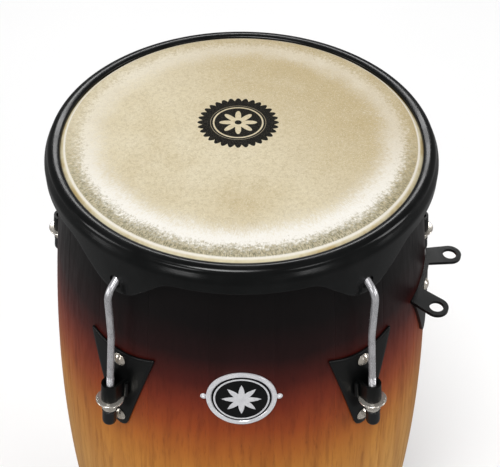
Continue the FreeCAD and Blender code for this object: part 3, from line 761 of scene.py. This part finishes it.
def shell_profile():
    """The staves' closed section as (radius, height): outer side, bearing edge, inner side."""
    foot_z = 0.003
    edge_z = HEAD_Z - BEARING_DEPTH - GAP
    crown = shell_radius(edge_z) - BEARING_R
    outer_rows = 54
    outer = [foot_z + (edge_z - foot_z) * k / outer_rows for k in range(outer_rows + 1)]
    section = [(shell_radius(z), z) for z in outer]
    for k in range(1, 9):
        turn = math.radians(90.0 * k / 8.0)
        section.append((BEARING_R + crown * math.cos(turn), edge_z + crown * math.sin(turn)))
    fall = [(0.45, 0.893), (0.8, 0.6)]
    section += [(BEARING_R - crown * inward, edge_z + crown * up) for inward, up in fall]
    inner_top = HEAD_Z - 0.0125
    inner_rows = 30
    inner = [inner_top + (foot_z - inner_top) * k / inner_rows for k in range(inner_rows + 1)]
    return section + [(shell_radius(z, -WALL), z) for z in inner]


def shell_barrel():
    """Twenty glued staves: each has its own face, with a hairline joint to the next."""
    section = shell_profile()
    half = 180.0 / STAVE_COUNT
    joint_w = 0.10
    joint_deep = 0.00016
    flat = 0.35
    flat_rise = 0.006
    offsets = [-half, -half + joint_w, -half + 3.0 * joint_w]
    offsets += [half * k / 4.0 for k in (-3, -2, -1, 0, 1, 2, 3)]
    offsets += [half - 3.0 * joint_w, half - joint_w]
    depths = [joint_deep, joint_deep * 0.25, 0.0] + [0.0] * 7 + [0.0, joint_deep * 0.25]
    points = []
    for k in range(STAVE_COUNT):
        for offset, deep in zip(offsets, depths):
            turn = math.radians(360.0 / STAVE_COUNT * k + offset)
            chord = math.cos(math.radians(half)) / math.cos(math.radians(offset))
            crowned = flat * (chord - 1.0) * flat_rise
            points += [polar(r - deep + crowned, turn, z) for r, z in section]
    rows = STAVE_COUNT * len(offsets)
    piece = make_piece("shell_barrel", [(points, quads(rows, len(section), True, True))], 30.0)
    return finish_piece(piece, "root", "shell_wood", WOOD, "shell_staves")


# Tuning hardware

def rod_axis():
    """The way down along a hook's threaded lower end."""
    return Vector((ROD_LEAN, 0, -1)).normalized()


def rod_point(depth):
    """Where the axis of the lower end is at a depth."""
    return Vector((ROD_AXIS_AT[0] + ROD_LEAN * (depth - ROD_AXIS_AT[1]), 0, HEAD_Z - depth))


def on_rod(start):
    """The frame whose local Z runs down the rod's lower axis and local X points outwards."""
    axis = rod_axis()
    out = Vector((-axis.z, 0, axis.x))
    return Matrix.Translation(start) @ Matrix((out, axis.cross(out), axis)).transposed().to_4x4()


STRAP_LOW = rod_point(STRAP_DEPTH) + rod_axis() * (STRAP_LENGTH / 2.0)
WASHER_START = STRAP_LOW + rod_axis() * MOVING_GAP
NUT_START = WASHER_START + rod_axis() * (WASHER_T + 0.00005)
CAP_START = NUT_START + rod_axis() * (NUT_HEIGHT + CAP_GAP)


def hook_shape():
    """A bent rod with a rounded nose in the hoop and a rolled thread at its lower end."""
    end = CAP_START + rod_axis() * (CAP_LENGTH - CAP_WALL_END)
    thread_above_strap = 0.007
    thread_cut = 0.00042
    spacing = 0.0012
    corners = [Vector((r, 0, HEAD_Z - depth)) for r, depth in (HOOK_TIP, HOOK_CORNER)]
    corners.append(rod_point(ROD_CORNER_DEPTH))
    thread_top = rod_point(STRAP_DEPTH) - rod_axis() * (STRAP_LENGTH / 2.0 + thread_above_strap)
    upper = rounded_path(corners + [thread_top], [0, HOOK_BEND_R, ROD_BEND_R, 0], spacing)
    nose = [corners[0] + hook_direction() * (ROD_R * t) for t in (0.04, 0.15, 0.35, 0.62)]
    turns = 8
    count = round((end - thread_top).length / THREAD_PITCH * turns)
    thread = [thread_top + (end - thread_top) * (k / count) for k in range(1, count + 1)]
    path = [corners[0]] + nose + [p for p in upper[1:] if (p - corners[0]).length > ROD_R] + thread
    sides = 28
    points = [corners[0]] * sides
    for i in range(1, len(path)):
        ahead = path[min(i + 1, len(path) - 1)]
        along = (ahead - path[i - 1]).normalized()
        out = Vector((-along.z, 0, along.x))
        from_tip = (path[i] - corners[0]).length
        width = ROD_R
        if from_tip < ROD_R:
            width = ROD_R * math.sqrt(1.0 - (1.0 - from_tip / ROD_R) ** 2)
        down = (path[i] - thread_top).dot(rod_axis())
        start = min(1.0, max(0.0, down / THREAD_PITCH))
        for k in range(sides):
            turn = 2.0 * math.pi * k / sides
            ridge = 0.5 + 0.5 * math.cos(2.0 * math.pi * (down / THREAD_PITCH) - turn)
            radius = width + start * (THREAD_R - ROD_R - thread_cut * (1.0 - ridge))
            away = out * math.cos(turn) + Vector((0, 1, 0)) * math.sin(turn)
            points.append(path[i] + away * radius)
    points += [path[-1]] * sides
    return points, quads(len(path) + 1, sides, False, True)


def washer_shape():
    """A dished washer: a flat seat, rolled edge and a raised inner shoulder."""
    bore_r = 0.0033
    section = [(bore_r, 0.0), (WASHER_R - 0.0009, 0.0), (WASHER_R - 0.0003, 0.00018),
               (WASHER_R, 0.0006), (WASHER_R, 0.0010), (WASHER_R - 0.0003, 0.00135),
               (WASHER_R - 0.0010, 0.0015), (WASHER_R - 0.0020, 0.0016),
               (WASHER_R - 0.0026, 0.00195), (WASHER_R - 0.0031, WASHER_T), (bore_r, WASHER_T)]
    return lathe(section, 96, True)


def nut_shape():
    """A hexagon nut, chamfered at both ends, with a bore."""
    reach = NUT_FLATS / math.sqrt(3.0)
    chamfer = 0.0011
    chamfer_slope = 0.9
    bore_r = 0.00284
    heights = [0.0, 0.0002, 0.0005, 0.0009, 0.0014, 0.0022, 0.0045, 0.0068, 0.0076, 0.0081,
               0.0085, 0.0088, NUT_HEIGHT]
    steps = 120
    points = []
    for k in range(steps):
        turn = 2.0 * math.pi * k / steps
        off_flat = (turn + math.pi / 6.0) % (math.pi / 3.0) - math.pi / 6.0
        hexagon = NUT_FLATS / 2.0 / math.cos(off_flat)
        column = []
        for h in heights:
            from_end = min(h, NUT_HEIGHT - h)
            column.append((min(hexagon, reach - chamfer + from_end * chamfer_slope), h))
        column += [(bore_r, NUT_HEIGHT), (bore_r, 0.0)]
        points += [polar(r, turn, h) for r, h in column]
    return points, quads(steps, len(heights) + 2, True, True)


def cap_shape():
    """A moulded cap with a rolled mouth and a domed end."""
    bore_r = ROD_R + 0.0004
    side_r = CAP_R - 0.0003
    dome_r = CAP_R - 0.0005
    dome_start = 0.0124
    bore_end = CAP_LENGTH - CAP_WALL_END + 0.0003
    section = [(bore_r, 0.0), (dome_r, 0.0), (CAP_R - 0.0001, 0.0002), (CAP_R, 0.0006),
               (CAP_R, 0.0012), (side_r, 0.0016), (side_r, 0.0022), (side_r, 0.0110),
               (dome_r, dome_start)]
    for k in range(1, 9):
        turn = math.radians(90.0 * k / 8.0)
        rise = (CAP_LENGTH - dome_start) * math.sin(turn)
        section.append((dome_r * math.cos(turn), dome_start + rise))
    return lathe(section + [(0, bore_end), (bore_r, bore_end)], 64, True)


def tuning_sets():
    """Each lug's hook with its cap, and its nut with its washer."""
    kinds = [("hook_rod", hook_shape(), 45.0, "hook", "rod_chrome", ROD, "tuning_hook"),
             ("end_cap", moved(cap_shape(), on_rod(CAP_START)), 50.0,
              "hook", "cap_black", CAP, "rod_cap"),
             ("dished_washer", moved(washer_shape(), on_rod(WASHER_START)), 50.0,
              "nut", "nut_chrome", NUT, "nut_washer"),
             ("hex_nut", moved(nut_shape(), on_rod(NUT_START)), 18.0,
              "nut", "nut_chrome", NUT, "tuning_nut")]
    for k, azimuth in enumerate(LUG_AZIMUTHS, 1):
        for name, shape, sharp, body, slot, material, node in kinds:
            piece = make_piece("%s_%d" % (name, k), [moved(shape, facing(azimuth))], sharp)
            finish_piece(piece, "%s_%d" % (body, k), slot, material, "%s_%d" % (node, k))


# Plates

def shield_outline(top_depth, tip_depth, dip):
    """A shield's outline as (across, depth), with softened upper corners and a round point."""
    half = PLATE_HALF_WIDTH
    slope = math.atan2(half, tip_depth - top_depth)
    apex = tip_depth + PLATE_TIP_R * (1.0 / math.sin(slope) - 1.0)
    spacing = 0.003
    corners = [Vector((half, 0, -top_depth)), Vector((0, 0, -apex)), Vector((-half, 0, -top_depth))]
    path = rounded_path(corners, [0, PLATE_TIP_R, 0], spacing)
    hollow_r = (half ** 2 + dip ** 2) / (2.0 * dip)
    columns = 24
    for k in range(1, columns):
        across = -half + 2.0 * half * k / columns
        sag = math.sqrt(hollow_r ** 2 - across ** 2) - (hollow_r - dip)
        path.append(Vector((across, 0, -top_depth - sag)))
    return [(p.x, -p.z) for p in path]


def soften(outline):
    """Rounds an outline's corners a little by averaging neighbours."""
    count = len(outline)
    line = [Vector(p) for p in outline]
    return [tuple((line[i - 1] + 2 * line[i] + line[(i + 1) % count]) / 4) for i in range(count)]


def inset_line(outline, distance):
    """An outline moved inwards, corner by corner."""
    count = len(outline)
    centre = sum((Vector(p) for p in outline), Vector((0, 0))) / count
    moved_line = []
    for i in range(count):
        along = (Vector(outline[(i + 1) % count]) - Vector(outline[i - 1])).normalized()
        inward = Vector((-along.y, along.x))
        if inward.dot(centre - Vector(outline[i])) < 0:
            inward = -inward
        moved_line.append(tuple(Vector(outline[i]) + inward * distance))
    return moved_line


def shield_shape(top_depth, tip_depth, dip, thickness):
    """A pressed plate that follows the shell, with rolled edges."""
    outline = soften(shield_outline(top_depth, tip_depth, dip))
    low = GAP
    high = GAP + thickness
    rims = [(0.0004, low), (0.0, low + 0.0004), (0.0, high - 0.0007), (0.0002, high - 0.00025),
            (0.0007, high)]
    rings = [(inset_line(outline, inset), lift) for inset, lift in rims]
    face = rings[-1][0]
    back = rings[0][0]
    centre = Vector((0, top_depth + (tip_depth - top_depth) * 0.36))
    shrink = [0.9, 0.78, 0.64, 0.5, 0.36, 0.22, 0.1, 0.0]

    def shrunk(ring, scale):
        return [tuple(centre + (Vector(p) - centre) * scale) for p in ring]

    rings += [(shrunk(face, s), high) for s in shrink]
    rings = [(shrunk(back, s), low) for s in reversed(shrink)] + rings
    points = []
    for ring, lift in rings:
        points += [on_shell(across, HEAD_Z - depth, lift) for across, depth in ring]
    return points, quads(len(rings), len(outline), False, True)


def lug_plates():
    shape = shield_shape(PLATE_TOP_DEPTH, PLATE_TIP_DEPTH, PLATE_TOP_DIP, PLATE_T)
    for k, azimuth in enumerate(LUG_AZIMUTHS, 1):
        piece = make_piece("shield_plate_%d" % k, [moved(shape, facing(azimuth))], 60.0)
        finish_piece(piece, "root", "plate_black", PLATE, "lug_plate_%d" % k)


def screw_shape():
    """A domed screw with a milled slot, its seat at the origin and its head along +Z."""
    dome_r = (SCREW_HEAD_R ** 2 + SCREW_HEAD_H ** 2) / (2.0 * SCREW_HEAD_H)
    reach = math.asin(SCREW_HEAD_R / dome_r)
    centre = SCREW_HEAD_H - dome_r
    head = []
    for k in range(15):
        turn = reach * k / 14.0
        head.append((dome_r * math.sin(turn), centre + dome_r * math.cos(turn)))
    head[-1] = (SCREW_HEAD_R, 0.0003)
    head += [(SCREW_HEAD_R - 0.0002, 0.00005), (SCREW_R, 0.0), (SCREW_R, -SCREW_REACH + 0.0006)]
    head += [(SCREW_R - 0.0006, -SCREW_REACH), (0, -SCREW_REACH)]
    screw = make_piece("screw_blank", [lathe(head, 56)])
    half_w = SLOT_W / 2.0
    span = SCREW_HEAD_R * 1.5
    corners = [Vector((x, y, z)) for z in (SCREW_HEAD_H - SLOT_DEEP, SCREW_HEAD_H * 2)
               for y in (-half_w, half_w) for x in (-span, span)]
    sides = [(0, 1, 3, 2), (4, 5, 7, 6), (0, 1, 5, 4), (2, 3, 7, 6), (0, 2, 6, 4), (1, 3, 7, 5)]
    box = (corners, sides)
    mill = make_piece("slot_mill", [box])
    cut = screw.modifiers.new("slot", "BOOLEAN")
    cut.object = mill
    cut.solver = "EXACT"
    edge = screw.modifiers.new("edge", "BEVEL")
    edge.width = 0.00014
    edge.segments = 2
    edge.limit_method = "ANGLE"
    edge.angle_limit = math.radians(45.0)
    bake(screw)
    points = [v.co.copy() for v in screw.data.vertices]
    faces = [tuple(p.vertices) for p in screw.data.polygons]
    bpy.data.objects.remove(mill)
    bpy.data.objects.remove(screw)
    return points, faces


def screws():
    """The screws of the lugs and the bracket, their slots turned a little differently."""
    shape = screw_shape()
    seat = PLATE_T + 2.0 * GAP
    twist = 13.0
    sets = [("slotted_screws", LUG_AZIMUTHS, SCREW_DEPTHS, 20.0, "lug_screws"),
            ("bracket_slotted_screws", [BRACKET_AZIMUTH], BRACKET_SCREW_DEPTHS, 10.0,
             "bracket_screws")]
    for name, azimuths, depths, start, node in sets:
        parts = []
        for i, azimuth in enumerate(azimuths):
            for j, depth in enumerate(depths):
                turn = Matrix.Rotation(math.radians(start + twist * ((i * 2 + j) % 3 - 1)), 4, "Z")
                parts.append(moved(shape, facing(azimuth) @ shell_frame(depth, seat) @ turn))
        finish_piece(make_piece(name, parts, 28.0), "root", "screw_chrome", SCREW, node)


# Badge

def on_badge(r, turn, lift):
    """A point about the badge's middle, lifted off the shell."""
    return on_shell(r * math.cos(turn), HEAD_Z - BADGE_DEPTH + r * math.sin(turn), lift)


def badge_ring(profile):
    """A section of (radius, lift) turned about the badge's middle and bent onto the shell."""
    steps = 160
    points = []
    for k in range(steps):
        turn = 2.0 * math.pi * k / steps
        points += [on_badge(r, turn, lift) for r, lift in profile]
    return points, quads(steps, len(profile), True, False)


def badge_star(low, high):
    """A plain raised star with bevelled arms, bent onto the shell."""
    rings = [(1.0, low), (1.0, high - 0.00012), (0.95, high), (0.6, high), (0.3, high), (0.0, high)]
    count = STAR_ARMS * 8
    points = []
    for scale, lift in rings:
        for k in range(count):
            turn = math.pi / 2.0 + 2.0 * math.pi * k / count
            share = abs((k % 8) - 4) / 4.0
            r = (STAR_WAIST_R + (STAR_R - STAR_WAIST_R) * share ** 1.25) * scale
            points.append(on_badge(r, turn, lift))
    return points, quads(len(rings), count, False, True)


def beside_badge(section, steps):
    """A section of (radius, lift) turned about the seat of the pin on each side of the badge."""
    parts = []
    for side in (-1, 1):
        swing = math.degrees(PIN_SPREAD / shell_radius(HEAD_Z - BADGE_DEPTH)) * side
        place = Matrix.Rotation(math.radians(swing), 4, "Z") @ shell_frame(BADGE_DEPTH)
        parts.append(moved(lathe(section, steps), facing(BADGE_AZIMUTH) @ place))
    return parts


def pin_section():
    """A drive pin as (radius, lift): a shank in the shell and a low round head."""
    tip = -PIN_LENGTH + PIN_SEAT
    head_h = PIN_HEAD_R * 0.8
    section = [(0, tip), (PIN_R, tip), (PIN_R, PIN_SEAT), (PIN_HEAD_R - 0.0001, PIN_SEAT)]
    for k in range(9):
        rise = math.radians(10.0 * k + 4.0)
        section.append((PIN_HEAD_R * math.cos(rise), PIN_SEAT + head_h * math.sin(rise)))
    return section + [(0, PIN_SEAT + head_h)]


def badge():
    """The frame with its two ears, the enamel field, the raised ring and star, and the pins."""
    turn = facing(BADGE_AZIMUTH)
    well = BADGE_T - BADGE_RECESS
    top = GAP + BADGE_T
    inner = BADGE_R - BADGE_RIM_W
    line = [(0, GAP), (BADGE_R - 0.0004, GAP), (BADGE_R, GAP + 0.0004), (BADGE_R, top - 0.0007),
            (BADGE_R - 0.0003, top - 0.0002), (BADGE_R - 0.0010, top), (inner + 0.0009, top),
            (inner + 0.0003, top - 0.0001), (inner, top - 0.0005), (inner - 0.0001, well),
            (0, well)]
    ear = [(0, GAP), (0.0024, GAP), (0.0026, 0.0003), (0.0026, 0.0007), (0.0023, 0.0009),
           (0, 0.0009)]
    parts = [moved(badge_ring(line), turn)] + beside_badge(ear, 40)
    piece = make_piece("badge_frame", parts, 32.0)
    finish_piece(piece, "root", "badge_chrome", BADGE, "badge_plate")

    bed = well + 0.00005
    field_r = inner - 0.0003
    field = [(0, bed), (field_r, bed), (field_r, bed + 0.0002)]
    field_rings = (inner - 0.0008, 0.0205, 0.018, 0.015, 0.012, 0.009, 0.006, 0.003, 0.0)
    field += [(r, bed + 0.00035) for r in field_rings]
    piece = make_piece("badge_enamel_disc", [moved(badge_ring(field), turn)], 40.0)
    finish_piece(piece, "root", "badge_black", ENAMEL, "badge_inlay")

    low = bed + 0.00030
    high = low + 0.00035
    ring = [(0.0211, low), (0.0211, high - 0.0001), (0.0209, high), (0.0200, high),
            (0.0198, high - 0.0001), (0.0198, low)]
    parts = [moved(badge_ring(ring), turn), moved(badge_star(low, high), turn)]
    piece = make_piece("badge_rosette", parts, 32.0)
    finish_piece(piece, "root", "badge_chrome", BADGE)

    piece = make_piece("badge_drive_pins", beside_badge(pin_section(), 32), 35.0)
    finish_piece(piece, "root", "badge_chrome", BADGE, "badge_pins")


# CAD nodes that stay as they are, with softened edges and a finish

def dress(node, material, bevel=0.0):
    """Gives a CAD node its material and, where asked, rounds its edges with modifiers."""
    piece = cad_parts[node]
    for place in piece.material_slots:
        place.material = material
    if bevel:
        join = piece.modifiers.new("join", "WELD")
        join.merge_threshold = 1e-6
        soft = piece.modifiers.new("soft_edges", "BEVEL")
        soft.width = bevel
        soft.segments = 2
        soft.limit_method = "ANGLE"
        soft.angle_limit = math.radians(35.0)
        soft.use_clamp_overlap = True
        weigh = piece.modifiers.new("even_normals", "WEIGHTED_NORMAL")
        weigh.keep_sharp = True


def kept_nodes():
    for k in range(1, LUG_COUNT + 1):
        dress("lug_strap_%d" % k, PLATE, 0.0003)
    dress("stand_bracket", PLATE, 0.0004)
    dress("bottom_ring", FOOT, 0.0005)
    dress("flesh_hoop", HOOP_STEEL)
    dress("hoop_wrap", LAP)
    for kind in ("washers", "nuts"):
        dress("lug_inner_" + kind, ZINC, 0.0002)
        dress("bracket_inner_" + kind, ZINC, 0.0002)


# Studio

def floor():
    """A plain pale floor, kept out of reflections so that it does not veil the black paint."""
    size = 9.0
    signs = ((-1, -1), (1, -1), (1, 1), (-1, 1))
    corners = [Vector((size * x, size * y, 0)) for x, y in signs]
    piece = make_piece("studio_floor", [(corners, [(0, 1, 2, 3)])])
    f = Finish("studio_white", Specular_IOR_Level=0.1)
    colour = f.mix(f.noise(2.0, 2.0), tint(246, 246, 246), tint(250, 250, 250))
    piece.data.materials.append(f.give(colour, 0.9))
    piece.visible_glossy = False


def light(name, kind, energy, place, aim_z):
    """A light at a place, turned to face a point on the drum's axis."""
    data = bpy.data.lights.new(name, kind)
    data.energy = energy
    lamp = bpy.data.objects.new(name, data)
    lamp.location = place
    aim = Vector((0, 0, aim_z)) - Vector(place)
    lamp.rotation_euler = aim.to_track_quat("-Z", "Y").to_euler()
    bpy.context.scene.collection.objects.link(lamp)
    return data


def softbox(name, place, width, height, power, aim_z=0.5):
    data = light(name, "AREA", power, place, aim_z)
    data.shape = "RECTANGLE"
    data.size = width
    data.size_y = height


def studio():
    floor()
    # a broad sun from above, even over the drum and the floor
    light("high_key", "SUN", 1.75, (-0.25, -0.75, 1.7), 0.0).angle = math.radians(22.0)
    softbox("front_left", (-1.3, -2.3, 1.5), 0.7, 1.1, 10.0)
    softbox("front_right", (1.5, -2.2, 1.5), 0.6, 1.1, 8.0)
    softbox("left", (-2.2, -0.5, 1.3), 0.7, 1.3, 12.0)
    softbox("right", (2.2, -0.3, 1.3), 0.7, 1.3, 14.0)
    softbox("back", (0.0, 2.0, 2.3), 1.6, 0.35, 16.0, 0.6)
    world = bpy.data.worlds.new("studio_light")
    bpy.context.scene.world = world
    world.use_nodes = True
    glow = world.node_tree.nodes["Background"]
    glow.inputs["Color"].default_value = (1.0, 1.0, 1.0, 1.0)
    glow.inputs["Strength"].default_value = 0.22
    bpy.context.scene.view_settings.view_transform = "Standard"


def camera():
    """Looks down at 43 degrees over the badge side, turned and rolled by a degree."""
    data = bpy.data.cameras.new("camera")
    data.sensor_width = 36.0
    data.lens = 72.0
    view = bpy.data.objects.new("camera", data)
    orbit = Matrix.Rotation(math.radians(-0.8), 4, "Z")
    place = Matrix.Translation((0.0072, -0.6237, HEAD_Z + 0.4811))
    pitch = Matrix.Rotation(math.radians(46.66), 4, "X")
    roll = Matrix.Rotation(math.radians(0.667), 4, "Z")
    view.matrix_world = orbit @ place @ pitch @ roll
    bpy.context.scene.collection.objects.link(view)
    bpy.context.scene.camera = view


camera()
studio()
shell_barrel()
head_skin()
rim_hoop()
tuning_sets()
lug_plates()
screws()
badge()
kept_nodes()
